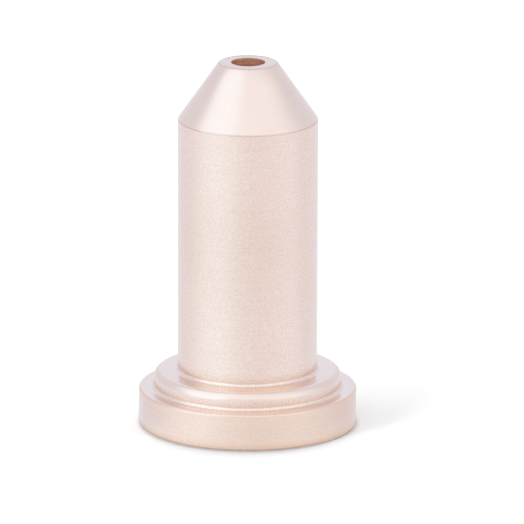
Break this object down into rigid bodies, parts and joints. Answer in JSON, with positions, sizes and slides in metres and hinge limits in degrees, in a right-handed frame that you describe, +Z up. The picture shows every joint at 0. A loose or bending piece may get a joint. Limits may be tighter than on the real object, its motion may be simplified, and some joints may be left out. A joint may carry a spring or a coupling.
{
  "type": "plasma torch nozzle",
  "caption": "Turned copper nozzle for a plasma torch: plain barrel on a stepped flange, tapered nose with a round orifice, hollow inside for the electrode.",
  "frame": {"origin": "centre of the base face that the nozzle stands on", "axes": "+Z up the nozzle's axis from the base to the nose, which is the way the arc leaves; X and Y are alike"},
  "size_m": [0.016, 0.016, 0.0272],
  "materials": {
    "copper": null
  },
  "bodies": {
    "root": {"nozzle": "copper"}
  },
  "joints": []
}
